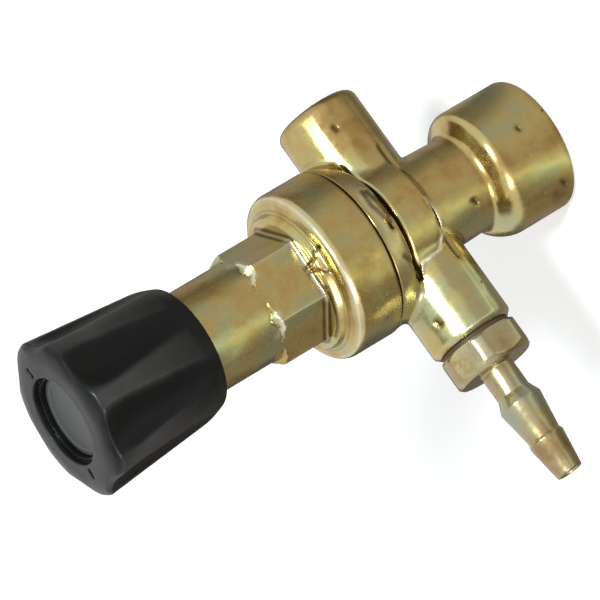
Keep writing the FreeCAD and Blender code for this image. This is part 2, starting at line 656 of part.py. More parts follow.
def knob_outside():
    """Taper with a domed front edge; flared flutes are cut out of it and the edges between them rounded."""
    taper = turned([
        (0, KNOB_FOOT),
        (KNOB_COLLAR_RADIUS, KNOB_FOOT),
        (KNOB_COLLAR_RADIUS, KNOB_FOOT + KNOB_COLLAR_HEIGHT),
        (KNOB_FOOT_RADIUS, KNOB_FOOT + KNOB_FOOT_SLOPE),
        (KNOB_TOP_RADIUS, KNOB_TOP - CROWN_DROP, KNOB_EDGE_ROUND),
        (KNOB_TOP_RADIUS - CROWN_WIDTH, KNOB_TOP, CROWN_ROUND),
        (0, KNOB_TOP),
    ])
    flute = knob_flute()
    flute.rotate(Vector(0, 0, 0), Vector(0, 0, 1), KNOB_TURN)
    fluted = taper.cut(around(flute, KNOB_LOBES))
    long_edges = [edge for edge in fluted.Edges if edge.BoundBox.ZLength > KNOB_HEIGHT / 2]
    flute_edges = [
        edge for edge in long_edges
        if len({face.Surface.TypeId for face in fluted.ancestorsOfType(edge, Part.Face)}) == 2
    ]
    return fluted.makeFillet(LOBE_ROUND, flute_edges)


def make_knob():
    """Moulded knob: fluted outside, deep core round the stem, hub with a hexagonal hole, recess in front."""
    stem_bore = STEM_RADIUS + STEM_CLEARANCE
    core_top = KNOB_TOP - KNOB_FRONT_WALL
    core = ring(stem_bore, KNOB_HUB_RADIUS, KNOB_FOOT, core_top)
    hub_clearing = disc(KNOB_HUB_RADIUS, KNOB_FOOT, SCREW_TOP)
    drive_hole = hexagon(DRIVE_FLATS + 2 * THREAD_PLAY, SCREW_TOP, POCKET_FLOOR, 0)
    front = turned([
        (0, POCKET_FLOOR),
        (SCREW_POCKET_RADIUS, POCKET_FLOOR),
        (SCREW_POCKET_RADIUS, CAP_FLOOR),
        (CAP_RADIUS + THREAD_PLAY, CAP_FLOOR),
        (CAP_RADIUS + THREAD_PLAY, CAP_FLOOR + CAP_THICKNESS),
        (RECESS_RADIUS, KNOB_TOP),
        (0, KNOB_TOP),
    ])
    return knob_outside().cut([core, hub_clearing, drive_hole, front])


def make_knob_cap():
    """Plain disc pressed into the front of the knob, slightly dished."""
    top = CAP_FLOOR + CAP_THICKNESS
    return turned([
        (0, CAP_FLOOR),
        (CAP_RADIUS, CAP_FLOOR),
        (CAP_RADIUS, top, CAP_DISH),
        (CAP_RADIUS - CAP_THICKNESS, top, CAP_DISH),
        (CAP_RADIUS - CAP_THICKNESS - CAP_DISH, top - CAP_DISH, CAP_DISH),
        (0, top - CAP_DISH),
    ])


def make_knob_washer():
    """Washer under the head of the knob screw."""
    return ring(KNOB_WASHER_RADIUS, KNOB_SCREW_RADIUS + SLIDE_PLAY, POCKET_FLOOR, POCKET_FLOOR + KNOB_WASHER_THICKNESS)


def make_knob_screw():
    """Pan-head screw with a cross recess that holds the knob on the adjusting screw."""
    seat = POCKET_FLOOR + KNOB_WASHER_THICKNESS
    head_top = seat + KNOB_SCREW_HEAD_HEIGHT
    screw = turned([
        (0, seat - KNOB_SCREW_REACH),
        (KNOB_SCREW_RADIUS, seat - KNOB_SCREW_REACH),
        (KNOB_SCREW_RADIUS, seat),
        (KNOB_SCREW_HEAD_RADIUS, seat),
        (KNOB_SCREW_HEAD_RADIUS, head_top, KNOB_SCREW_HEAD_HEIGHT / 2),
        (0, head_top),
    ])
    length = KNOB_SCREW_HEAD_RADIUS
    corner = Vector(-length / 2, -KNOB_SCREW_CROSS_WIDTH / 2, head_top - KNOB_SCREW_CROSS_DEPTH)
    slot = Part.makeBox(length, KNOB_SCREW_CROSS_WIDTH, KNOB_SCREW_CROSS_DEPTH, corner)
    other_slot = slot.copy()
    other_slot.rotate(Vector(0, 0, 0), Vector(0, 0, 1), 90)
    return screw.cut([slot, other_slot])


def make_tail_washer():
    """Fibre washer between the outlet face and the hexagon of the hose tail."""
    return to_outlet(ring(WASHER_RADIUS, OUTLET_THREAD_RADIUS + SLIDE_PLAY, OUTLET_FACE, TAIL_SEAT))


def make_hose_tail():
    """Brass hose tail: threaded spigot, chamfered hexagon, neck and two barbs, bored through."""
    outside = turned([
        (0, OUTLET_FACE - TAIL_SPIGOT_LENGTH),
        (OUTLET_THREAD_RADIUS - TAIL_HEX_BEVEL, OUTLET_FACE - TAIL_SPIGOT_LENGTH),
        (OUTLET_THREAD_RADIUS, OUTLET_FACE - TAIL_SPIGOT_LENGTH + TAIL_HEX_BEVEL),
        (OUTLET_THREAD_RADIUS, TAIL_SEAT),
        (OUTLET_THREAD_RADIUS, TAIL_HEX_END),
        (TAIL_NECK_RADIUS, TAIL_HEX_END),
        (TAIL_NECK_RADIUS, TAIL_NECK_END),
        (FIRST_BARB_RADIUS, FIRST_BARB_CREST, TAIL_TIP_ROUND),
        (WAIST_RADIUS, WAIST_END),
        (SECOND_BARB_RADIUS, SECOND_BARB_CREST, TAIL_TIP_ROUND),
        (TAIL_TIP_RADIUS, TAIL_END, TAIL_TIP_ROUND),
        (0, TAIL_END),
    ])
    hex_turning = turned([
        (0, TAIL_SEAT),
        (TAIL_HEX_CORNER_RADIUS - TAIL_HEX_BEVEL, TAIL_SEAT),
        (TAIL_HEX_CORNER_RADIUS, TAIL_SEAT + TAIL_HEX_BEVEL),
        (TAIL_HEX_CORNER_RADIUS, TAIL_HEX_END - TAIL_HEX_CHAMFER),
        (TAIL_HEX_CORNER_RADIUS - TAIL_HEX_CHAMFER, TAIL_HEX_END),
        (0, TAIL_HEX_END),
    ])
    bar = hexagon(TAIL_HEX_FLATS, TAIL_SEAT, TAIL_HEX_END, TAIL_HEX_TURN)
    bore = disc(TAIL_BORE_RADIUS, OUTLET_FACE - TAIL_SPIGOT_LENGTH, TAIL_END)
    return to_outlet(outside.fuse(bar.common(hex_turning)).cut(bore))


PIECES = {
    "body": make_body,
    "bonnet": make_bonnet,
    "diaphragm": make_diaphragm,
    "slip_ring": make_slip_ring,
    "diaphragm_plate": make_diaphragm_plate,
    "spring_plate": make_spring_plate,
    "push_pin": make_push_pin,
    "valve_seat": make_valve_seat,
    "poppet": make_poppet,
    "poppet_pad": make_poppet_pad,
    "poppet_spring": make_poppet_spring,
    "valve_retainer": make_valve_retainer,
    "inlet_filter": make_inlet_filter,
    "inlet_seal": make_inlet_seal,
    "depressor_pin": make_depressor_pin,
    "main_spring": make_main_spring,
    "spring_button": make_spring_button,
    "adjusting_screw": make_adjusting_screw,
    "stop_ring": make_stop_ring,
    "knob": make_knob,
    "knob_cap": make_knob_cap,
    "knob_washer": make_knob_washer,
    "knob_screw": make_knob_screw,
    "tail_washer": make_tail_washer,
    "hose_tail": make_hose_tail,
}

os.makedirs("parts", exist_ok=True)
for name, make in PIECES.items():
    piece = make()
    if len(piece.Solids) == 1:
        piece = piece.Solids[0]
    piece.exportStep(os.path.join("parts", name + ".step"))
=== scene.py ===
import math
import bpy
import numpy as np
from mathutils import Matrix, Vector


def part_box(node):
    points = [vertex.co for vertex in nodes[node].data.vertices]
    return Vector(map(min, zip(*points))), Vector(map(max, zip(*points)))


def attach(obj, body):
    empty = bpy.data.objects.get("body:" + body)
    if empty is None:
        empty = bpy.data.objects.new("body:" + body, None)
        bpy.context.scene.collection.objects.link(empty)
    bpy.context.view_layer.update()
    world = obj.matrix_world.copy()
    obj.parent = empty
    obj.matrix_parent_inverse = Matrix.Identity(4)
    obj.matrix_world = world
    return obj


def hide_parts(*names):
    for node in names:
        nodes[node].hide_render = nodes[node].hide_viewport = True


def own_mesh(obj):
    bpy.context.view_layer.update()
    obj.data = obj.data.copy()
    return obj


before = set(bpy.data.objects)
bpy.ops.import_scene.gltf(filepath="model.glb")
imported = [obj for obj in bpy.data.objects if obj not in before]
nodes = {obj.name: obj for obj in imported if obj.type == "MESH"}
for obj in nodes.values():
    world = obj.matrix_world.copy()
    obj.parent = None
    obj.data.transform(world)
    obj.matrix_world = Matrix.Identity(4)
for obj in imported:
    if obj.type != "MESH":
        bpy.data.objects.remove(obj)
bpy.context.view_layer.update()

# Body
# Hot-forged and tumbled brass: inlet socket, neck, barrel and flange on one axis, and two bosses across it.
# Its corners are soft from the die, and its bores, its seam and the face of the outlet are machined.
# Lengths are in millimetres all through this script, and MM makes them metres where a mesh is built.
MM = 0.001
SOCKET_RADIUS, SOCKET_TOP = 11.8, 12.7
NECK_RADIUS, NECK_MIDDLE, NECK_HALF = 8.5, 22.0, 13.0
BARREL_RADIUS, BARREL_MIDDLE, BARREL_HALF = 10.95, 30.1, 3.65
FLANGE_RADIUS, FLANGE_FOOT, SEAM_HEIGHT = 15.0, 34.7, 39.5
CONE_RADIUS, CONE_FOOT = 12.9, 34.8
COLLAR_RADIUS, COLLAR_MIDDLE, COLLAR_HALF = 12.9, 41.0, 3.0
CROSS_HEIGHT, BOSS_RADIUS, OUTLET_END, BLANK_END = 29.4, 7.5, 23.2, 23.1
# bores, each as its radius and its two ends along its axis
OPEN = np.inf
MAIN_BORES = [(5.15, -OPEN, 12.5), (4.25, -OPEN, CROSS_HEIGHT), (3.1, -OPEN, OPEN), (4.8, 33.5, OPEN),
              (10.5, 38.0, OPEN)]
OUTLET_BORES = [(4.95, -OPEN, -14.2), (1.5, -15.0, -7.8)]
RISER_X = -9.0
RISER_BORES = [(1.2, CROSS_HEIGHT, 39.0)]
# the photograph's line of sight and picture axes; marks on the near side are traced across them, as lines of
# points to the right of the target and above it
CAMERA_TARGET = np.array([-1.09, 8.57, 47.09])
TOWARD_CAMERA = np.array([-0.1731, -0.8940, 0.4134])
IMAGE_UP = np.array([0.8024, -0.3714, -0.4671])
IMAGE_RIGHT = np.cross(IMAGE_UP, TOWARD_CAMERA)
BODY_CREASES = [
    [(10.0, 17.7), (11.4, 15.6), (13.3, 13.8), (14.9, 11.8)],
    [(10.7, 17.7), (12.8, 16.0), (14.3, 13.9), (15.0, 11.8)],
    [(17.1, 7.0), (18.2, 6.2), (19.0, 4.9), (19.6, 3.7)],
]
PARTING_RIDGE = [(20.4, 16.9), (21.9, 14.9), (23.0, 12.8), (23.4, 10.6), (22.8, 8.4), (21.2, 7.0),
                 (20.1, 6.3), (19.9, 4.9), (20.0, 3.4)]
BODY_PITS = [
    ([(5.6, 28.3), (6.0, 28.0)], 0.5),
    ([(35.6, 28.3), (36.0, 28.0)], 0.35),
    ([(28.5, 16.2), (28.9, 15.9)], 0.5),
    ([(22.3, -3.6), (22.7, -3.9)], 0.55),
    ([(43.2, 19.5), (43.6, 19.2)], 0.35),
]
BARREL_GROOVES = (26.4, 33.9)
BODY_STEP = 0.36


def welded(first, second, radius):
    """Union of two fields with a hollow fillet: below the radius a quarter circle joins both distances."""
    near = np.maximum(radius - first, 0) ** 2 + np.maximum(radius - second, 0) ** 2
    return np.maximum(radius, np.minimum(first, second)) - np.sqrt(near)


def shared(first, second, radius):
    """Overlap of two fields with a rounded edge: the larger distance, with a quarter circle at the edge."""
    far = np.maximum(first + radius, 0) ** 2 + np.maximum(second + radius, 0) ** 2
    return np.minimum(-radius, np.maximum(first, second)) + np.sqrt(far)


def bored(radius, along, bores):
    """Distance from the bores on one axis: for each the larger of the distances from its wall and ends."""
    nearest = OPEN
    for size, start, stop in bores:
        nearest = np.minimum(nearest, np.maximum(radius - size, np.maximum(start - along, along - stop)))
    return nearest


def traced(x, y, z, line):
    """Distance from a chain of points drawn in the photograph, measured across its line of sight."""
    right, up = (
        (x - CAMERA_TARGET[0]) * axis[0] + (y - CAMERA_TARGET[1]) * axis[1] + (z - CAMERA_TARGET[2]) * axis[2]
        for axis in (IMAGE_RIGHT, IMAGE_UP))
    nearest = OPEN
    for start, stop in zip(line[:-1], line[1:]):
        run = np.subtract(stop, start)
        share = ((right - start[0]) * run[0] + (up - start[1]) * run[1]) / (run @ run)
        share = np.clip(share, 0, 1)
        gap = np.hypot(right - start[0] - share * run[0], up - start[1] - share * run[1])
        nearest = np.minimum(nearest, gap)
    return nearest


def bell(distance, width):
    """One at no distance, a third at the width and nearly nought at twice the width."""
    return np.exp(-(distance / width) ** 2)


def mark(x, y, z, line, width):
    """Bell across a traced line, on the near side only."""
    return np.clip(-y - 1.0, 0, 1) * bell(traced(x, y, z, line), width)


def made_piece(name, points, faces):
    """Object at the origin with a smooth mesh of these points, given in millimetres, and these faces."""
    mesh = bpy.data.meshes.new(name)
    mesh.from_pydata((points * MM).tolist(), [], faces)
    mesh.shade_smooth()
    piece = bpy.data.objects.new(name, mesh)
    bpy.context.scene.collection.objects.link(piece)
    return piece


def skin(name, field, stain_and_painted_light, low, high, step):
    """Closed skin where field(x, y, z) is nought. Each crossed cell gets the point nearest, by least squares,
    to the tangent planes at its crossed edges, and each crossed edge joins the four points round it. Two
    attributes go with the points: how hollow the form is, one less the field a little way out over that way,
    and the stain and painted light and shade that the given function puts there."""
    slope_reach = 0.02
    hollow_reach = 1.3
    pull_to_middle = 0.12
    axes = [np.arange(start, stop + step, step) for start, stop in zip(low, high)]
    x, y, z = np.meshgrid(*axes, indexing="ij", sparse=True)
    value = field(x, y, z)
    shape = value.shape

    def slope(point):
        parts = []
        for shift in slope_reach * np.eye(3):
            parts.append(field(*(point + shift).T) - field(*(point - shift).T))
        normal = np.stack(parts, axis=1)
        return normal / np.maximum(np.linalg.norm(normal, axis=1, keepdims=True), 1e-9)

    quads, points, normals = [], [], []
    for axis in range(3):
        start = np.take(value, range(shape[axis] - 1), axis)
        stop = np.take(value, range(1, shape[axis]), axis)
        crossed = np.argwhere((start < 0) != (stop < 0))
        first = start[tuple(crossed.T)]
        last = stop[tuple(crossed.T)]
        share = first / (first - last)
        point = np.array(low) + step * crossed
        point[:, axis] += step * share
        # one more step of the same kind, because the field bends between the ends of an edge
        share += field(*point.T) / (first - last)
        point[:, axis] = low[axis] + step * (crossed[:, axis] + np.clip(share, 0, 1))
        side = np.eye(3, dtype=int)[(axis + 1) % 3]
        other = np.eye(3, dtype=int)[(axis + 2) % 3]
        corners = [crossed - side - other, crossed - other, crossed, crossed - side]
        cells = np.stack([np.ravel_multi_index(tuple(corner.T), shape) for corner in corners], axis=1)
        cells[first > 0] = cells[first > 0][:, ::-1]
        quads.append(cells)
        points.append(point)
        normals.append(slope(point))
    quads = np.concatenate(quads)
    used, faces = np.unique(quads, return_inverse=True)
    faces = faces.reshape(quads.shape)
    point = np.repeat(np.concatenate(points), 4, axis=0)
    normal = np.repeat(np.concatenate(normals), 4, axis=0)
    cell = faces.ravel()
    count = np.bincount(cell)

    def gathered(amount):
        return np.bincount(cell, amount, len(used))

    middle = np.stack([gathered(point[:, axis]) / count for axis in range(3)], axis=1)
    gap = np.sum(normal * (point - middle[cell]), axis=1)
    matrix = np.stack([[gathered(normal[:, a] * normal[:, b]) for b in range(3)] for a in range(3)])
    matrix = np.moveaxis(matrix, 2, 0) + pull_to_middle * np.eye(3)
    target = np.stack([gathered(normal[:, axis] * gap) for axis in range(3)], axis=1)
    place = middle + np.linalg.solve(matrix, target[:, :, None])[:, :, 0]
    corner = np.array(low) + step * np.stack(np.unravel_index(used, shape), axis=1)
    place = np.clip(place, corner, corner + step)
    outward = slope(place)
    hollow = 1 - field(*(place + hollow_reach * outward).T) / hollow_reach
    piece = made_piece(name, place, faces.tolist())
    piece.data.normals_split_custom_set_from_vertices(outward)
    # the second attribute holds stains together with painted light and shade
    for kept, amount in (("hollow", hollow), ("stain_and_painted_light", stain_and_painted_light(*place.T))):
        attribute = piece.data.attributes.new(kept, "FLOAT", "POINT")
        attribute.data.foreach_set("value", amount.astype(np.float32))
    return piece


def body_field(x, y, z):
    """Distance from the body's surface, less than nought inside. Turned forms come from the radius and the
    height, slants from the distance along their normal, and the bosses from how far the cross axis is."""
    radius = np.hypot(x, y)
    from_cross = np.hypot(y, z - CROSS_HEIGHT)
    # the shoulder of the socket is fuller in the die on the blank side, and drawn in on the outlet side
    toward_outlet = np.clip(-x / np.maximum(radius, 1), 0, 1)
    shoulder = 0.499 * (radius - SOCKET_RADIUS) + 0.867 * (z - SOCKET_TOP)
    socket = shared(shared(radius - SOCKET_RADIUS, -z, 1.0), shoulder, 0.9 + 1.8 * toward_outlet ** 2)
    neck_taper = 0.042 * (z - 14.6)
    neck = shared(radius - NECK_RADIUS - neck_taper, np.abs(z - NECK_MIDDLE) - NECK_HALF, 0.5)
    swell = 0.012 * (z - 30.0) ** 2
    barrel = shared(radius - BARREL_RADIUS + swell, np.abs(z - BARREL_MIDDLE) - BARREL_HALF, 1.2)
    cone = 0.75 * (radius - CONE_RADIUS) + 0.66 * (CONE_FOOT - z)
    flange = shared(radius - FLANGE_RADIUS, cone, 1.6)
    flange = shared(flange, np.maximum(FLANGE_FOOT - z, z - SEAM_HEIGHT), 0.5)
    trunk = welded(welded(welded(socket, neck, 0.8), barrel, 0.7), flange, 0.9)
    boss = from_cross - BOSS_RADIUS
    outlet = shared(boss, np.maximum(-x - OUTLET_END, x), 0.5)
    outlet = shared(outlet, 0.7071 * (boss + 0.9 - x - OUTLET_END), 0.2)
    blank = shared(boss, np.maximum(x - BLANK_END, -x), 1.7)
    # the die leaves a tight corner on the neck and a soft one on the flange
    soft = 0.5 + 1.5 * np.clip((z - 30.0) / 5.0, 0, 1)
    forging = welded(trunk, np.minimum(outlet, blank), soft)
    collar = np.maximum(radius - COLLAR_RADIUS, np.abs(z - COLLAR_MIDDLE) - COLLAR_HALF)
    forging = np.minimum(np.maximum(forging, z - SEAM_HEIGHT), collar)
    bores = np.minimum(bored(radius, z, MAIN_BORES), bored(from_cross, x, OUTLET_BORES))
    bores = np.minimum(bores, bored(np.hypot(x - RISER_X, y), z, RISER_BORES))
    formed = np.maximum(forging, -bores)
    # what the die left on the near side
    for line in BODY_CREASES:
        formed = formed + 0.3 * mark(x, y, z, line, 0.36)
    formed = formed - 0.25 * mark(x, y, z, PARTING_RIDGE, 0.3)
    for line, width in BODY_PITS:
        formed = formed + 0.25 * mark(x, y, z, line, width)
    # grooves round the barrel, which fade where the bosses stand
    beside_boss = np.clip((np.abs(y) - 2.0) / 2.0, 0, 1) * np.clip(boss + 0.2, 0, 1)
    open_barrel = np.maximum(beside_boss, np.clip(12.0 - np.abs(x), 0, 1)) * (radius > 8.0)
    for groove in BARREL_GROOVES:
        formed = formed + 0.45 * open_barrel * bell(z - groove, 0.5)
    return formed


def body_stain_and_shade(x, y, z):
    """How brown the brass is, from nought to one, painted shade in the grooves and creases included, and
    below nought where the parting ridge is rubbed and has a painted highlight.
    """
    brown = bell(z - SEAM_HEIGHT, 0.3)
    # brown in the barrel's grooves: painted shade
    for groove in BARREL_GROOVES:
        brown = brown + 0.75 * bell(z - groove, 0.55) * np.clip(12.5 - np.abs(x), 0, 1)
    # brown along the creases: painted shade
    for line in BODY_CREASES:
        brown = brown + 0.8 * mark(x, y, z, line, 0.35)
    for line, width in BODY_PITS:
        brown = brown + 1.1 * mark(x, y, z, line, 1.3 * width)
    brown = brown + 0.55 * bell(x - 22.9, 0.7) * (np.hypot(y, z - CROSS_HEIGHT) > 5.5)
    brown = brown + 0.55 * bell(z - 0.2, 0.6) * (np.hypot(x, y) > 10.0)
    # the parting ridge made paler: rubbed wear and a painted highlight
    return np.clip(brown, 0, 1) - 0.9 * mark(x, y, z, PARTING_RIDGE, 0.25)


def feed(tree, made, sources):
    """Links the inputs of a node to other nodes' outputs, or sets them to values."""
    for socket, source in sources.items():
        if isinstance(source, bpy.types.NodeSocket):
            tree.links.new(source, made.inputs[socket])
        else:
            made.inputs[socket].default_value = source


def node_adder(tree):
    """A function that adds one node to a tree, with its inputs and its settings."""
    def node(kind, sources=None, **settings):
        made = tree.nodes.new(kind)
        for key, setting in settings.items():
            setattr(made, key, setting)
        feed(tree, made, sources or {})
        return made

    return node


def new_material(name):
    """A node material with its tree, its principled shader and the function that adds nodes to it."""
    material = bpy.data.materials.new(name)
    material.use_nodes = True
    tree = material.node_tree
    return material, tree, tree.nodes["Principled BSDF"], node_adder(tree)


def object_place(node):
    """The piece's own coordinates."""
    return node("ShaderNodeTexCoord").outputs["Object"]


def noise(node, place, scale, detail, roughness=0.5):
    """Noise from nought to one over a place."""
    sources = {"Vector": place, "Scale": scale, "Detail": detail, "Roughness": roughness}
    return node("ShaderNodeTexNoise", sources).outputs["Fac"]


def maths(node, operation, first, second):
    """One operation on two sockets or values."""
    return node("ShaderNodeMath", {0: first, 1: second}, operation=operation).outputs[0]


def spread(node, value, start, stop, low, high):
    """The value with the range from start to stop carried onto low to high, and held at both ends."""
    sources = {"Value": value, "From Min": start, "From Max": stop, "To Min": low, "To Max": high}
    return node("ShaderNodeMapRange", sources).outputs["Result"]


def mixed(node, share, first, second):
    """Mix of two colours, of which the second takes the share."""
    return node("ShaderNodeMix", {0: share, 6: first, 7: second}, data_type="RGBA").outputs[2]


def relief(node, height, strength, distance, under=None, sunk=False):
    """Bump from a height, raised or sunk, over the bump under it. The distance is what a height of one
    stands for, in metres."""
    sources = {"Height": height, "Strength": strength, "Distance": distance}
    if under is not None:
        sources["Normal"] = under
    return node("ShaderNodeBump", sources, invert=sunk).outputs[0]


def ramp(node, factor, stops):
    """Colour ramp over a factor, from a list of places and colours."""
    made = node("ShaderNodeValToRGB", {"Fac": factor})
    elements = made.color_ramp.elements
    while len(elements) < len(stops):
        elements.new(1)
    for element, (place, colour) in zip(elements, stops):
        element.position = place
        element.color = (*colour, 1)
    return made.outputs["Color"]


def forged_brass(name, tone, rough):
    """Tumbled forging: slow waves from the die, fine orange-peel grain, scattered dark pits, and tints from
    reddish to greenish; a painted brown shade fills the hollows, and the edges are painted pale, for rubbed
    wear and a painted highlight together."""
    tints = ((0.36, (0.39, 0.26, 0.09)), (0.46, (0.49, 0.37, 0.145)), (0.54, (0.50, 0.42, 0.18)),
             (0.63, (0.43, 0.42, 0.235)))
    material, tree, shader, node = new_material(name)
    place = object_place(node)
    waves = noise(node, place, 120.0, 1.5, 0.4)
    peel = noise(node, place, 1300.0, 3.0, 0.6)
    tint = noise(node, place, 95.0, 4.0, 0.6)
    spots = node("ShaderNodeTexVoronoi", {"Vector": place, "Scale": 260.0}).outputs["Distance"]
    pit_size = spread(node, noise(node, place, 170.0, 2.0), 0.56, 0.74, 0.0, 0.2)
    pit = spread(node, maths(node, "SUBTRACT", pit_size, spots), 0.0, 0.08, 0.0, 1.0)
    colour = ramp(node, tint, [(stop, tuple(a * b for a, b in zip(tone, shade))) for stop, shade in tints])
    hollow = node("ShaderNodeAttribute", attribute_name="hollow").outputs["Fac"]
    stain_and_painted_light = node("ShaderNodeAttribute", attribute_name="stain_and_painted_light").outputs["Fac"]
    # painted shade: brown where the form is hollow, joined with the stains and painted light of the stain
    # attribute
    brown = maths(node, "MAXIMUM", spread(node, hollow, 0.03, 0.35, 0.0, 0.85), stain_and_painted_light)
    # painted highlight with rubbed wear: paler on convex edges
    wear_and_painted_highlight = spread(node, hollow, -0.2, -0.6, 0.0, 0.45)
    pale = maths(node, "MAXIMUM", wear_and_painted_highlight, maths(node, "MULTIPLY", stain_and_painted_light, -1.0))
    # the brown of the painted shade, the pale of the painted highlight and wear, then the dark of the pits
    colour = mixed(node, brown, colour, (0.13, 0.085, 0.03, 1))
    colour = mixed(node, pale, colour, (0.82, 0.78, 0.62, 1))
    colour = mixed(node, pit, colour, (0.09, 0.06, 0.025, 1))
    bumps = relief(node, waves, 1.0, 0.0009)
    bumps = relief(node, peel, 0.25, 0.00003, under=bumps)
    bumps = relief(node, pit, 0.8, 0.0002, under=bumps, sunk=True)
    dull = spread(node, peel, 0.3, 0.7, rough - 0.05, rough + 0.07)
    feed(tree, shader, {"Base Color": colour, "Roughness": dull, "Metallic": 1.0, "Normal": bumps})
    return material


def finish_piece(piece, material, body, slot, *replaced):
    """Gives a new piece its material and the body it rides on, and hides the nodes it stands for; slot is not
    used.
    """
    piece.data.materials.append(material)
    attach(piece, body)
    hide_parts(*replaced)


forging_brass = forged_brass("forged_brass", (1.0, 1.0, 1.0), 0.24)
body = skin("body_forging", body_field, body_stain_and_shade, (-24.0, -16.0, -0.8), (24.0, 16.0, 44.8), BODY_STEP)
finish_piece(body, forging_brass, "housing", "forged_brass", "body")

# Valve, diaphragm and screws
# Turned brass, steel and rubber pieces inside the body, the bonnet and the knob, hidden but for what the
# inlet shows. They keep the solids of the frame and get the finish of what they are made of.


def turned_metal(name, colour, rough, grain):
    """Lathe-turned metal: fine rings round the main axis and a slight change of shine."""
    material, tree, shader, node = new_material(name)
    place = object_place(node)
    stretched = node("ShaderNodeMapping", {"Vector": place, "Scale": (1.0, 1.0, 14.0)}).outputs[0]
    rings = noise(node, stretched, grain, 2.0)
    cloud = noise(node, place, 300.0, 3.0)
    feed(tree, shader, {
        "Base Color": ramp(node, cloud, [(0.35, tuple(0.9 * c for c in colour)), (0.65, colour)]),
        "Roughness": spread(node, rings, 0.3, 0.7, rough - 0.06, rough + 0.06),
        "Metallic": 1.0,
        "Normal": relief(node, rings, 0.3, 0.00003),
    })
    return material


def grained(name, colour, rough, scale, depth):
    """Moulded, pressed or sintered stuff: speckled colour and a fine grain in shine and relief."""
    material, tree, shader, node = new_material(name)
    place = object_place(node)
    grain = noise(node, place, scale, 4.0, 0.6)
    cloud = noise(node, place, scale / 14, 3.0)
    darker, lighter = (tuple(share * c for c in colour) for share in (0.85, 1.1))
    feed(tree, shader, {
        "Base Color": ramp(node, cloud, [(0.35, darker), (0.65, lighter)]),
        "Roughness": spread(node, grain, 0.3, 0.7, rough - 0.05, rough + 0.05),
        "Normal": relief(node, grain, 0.4, depth),
    })
    return material


lathe_brass = turned_metal("lathe_brass", (0.50, 0.37, 0.17), 0.28, 900.0)
plated_steel = turned_metal("plated_steel", (0.62, 0.62, 0.60), 0.3, 900.0)
spring_wire = turned_metal("spring_wire", (0.42, 0.42, 0.43), 0.34, 700.0)
black_rubber = grained("black_rubber", (0.022, 0.022, 0.023), 0.62, 5000.0, 0.00003)
sintered = grained("sintered_bronze", (0.34, 0.22, 0.1), 0.6, 9000.0, 0.00008)
hidden_finishes = (
    (lathe_brass, ("slip_ring", "diaphragm_plate", "spring_plate", "valve_seat", "poppet", "valve_retainer")),
    (plated_steel, ("push_pin", "depressor_pin", "spring_button", "adjusting_screw")),
    (plated_steel, ("knob_washer", "knob_screw")),
    (spring_wire, ("stop_ring",)),
    (black_rubber, ("diaphragm", "poppet_pad", "inlet_seal")),
    (sintered, ("inlet_filter",)),
)
for finish, hidden_names in hidden_finishes:
    for hidden_name in hidden_names:
        solid = nodes[hidden_name]
        solid.data.materials.clear()
        solid.data.materials.append(finish)

# Inlet thread
# The thread of the socket, cut into the wall of the body: a fine 1 mm pitch, running out below the seal.
# It is a sleeve of its own, sunk into the wall, because its form is much finer than the forging's.
THREAD_PITCH = 1.0
THREAD_CORE = 4.5
THREAD_DEPTH = 0.5
THREAD_LENGTH = 9.5
THREAD_BACKING = 0.6
TURN_STEPS = 96


def full_turn(steps):
    """Angles once round from nought, evenly spaced, without the last one that would close the turn."""
    return np.linspace(0, 2 * np.pi, steps, endpoint=False)


def loop_grid(radius, height, angles):
    """Ring of closed sections: radius and height are arrays over the section's points and the angles, and the
    section and the ring both close on themselves."""
    rows, columns = radius.shape
    height = np.broadcast_to(height, radius.shape)
    points = np.stack([radius * np.cos(angles), radius * np.sin(angles), height], axis=2)
    row, column = np.indices((rows, columns))
    above = (row + 1) % rows
    right = (column + 1) % columns
    corners = [(row, column), (row, right), (above, right), (above, column)]
    faces = np.stack([corner_row * columns + corner_column for corner_row, corner_column in corners], axis=2)
    return points.reshape(-1, 3), faces.reshape(-1, 4).tolist()


def creased(name, points, faces, crease):
    """A piece that is smooth but for the edges sharper than the crease angle, in degrees."""
    piece = made_piece(name, points, faces)
    piece.data.set_sharp_from_angle(angle=math.radians(crease))
    return piece


def thread_sleeve():
    """Sleeve with a helical groove on its inside: the depth is a triangle wave of height less turn times
    pitch, flat on its crests, and it fades out at the top and widens at the mouth. The section runs up inside
    and down outside, so its faces are turned over to point outwards."""
    angles = full_turn(TURN_STEPS)
    rise = np.linspace(0, THREAD_LENGTH, 172)[:, None]
    phase = (rise / THREAD_PITCH - angles / (2 * np.pi)) % 1.0
    groove = np.clip(1.3 * (1 - np.abs(2 * phase - 1)) - 0.15, 0, 1)
    groove = groove * np.clip((THREAD_LENGTH - rise) / 0.4, 0, 1)
    groove = np.maximum(groove, np.clip(1 - rise / 0.5, 0, 1))
    outside = np.full((2, len(angles)), THREAD_CORE + THREAD_DEPTH + THREAD_BACKING)
    radius = np.concatenate([THREAD_CORE + THREAD_DEPTH * groove, outside])
    height = np.concatenate([rise, [[THREAD_LENGTH], [0.02]]])
    points, faces = loop_grid(radius, height, angles)
    return points, [face[::-1] for face in faces]


sleeve = creased("inlet_thread", *thread_sleeve(), 50)
sleeve.data.materials.append(lathe_brass)
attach(sleeve, "housing")

# Springs
# Round steel wire, the ends ground flat: the strong adjusting spring in the bonnet and the valve's small one.
# Both shorten as their joint moves; here they are pieces of their own, each with its own mesh.
SPRINGS = (
    ("main_spring", 5.3, 1.1, 5, "adjust_travel", 5.06),
    ("poppet_spring", 2.15, 0.25, 4, "valve_lift", 0.82),
)
COIL_STEPS = 48
WIRE_SIDES = 16


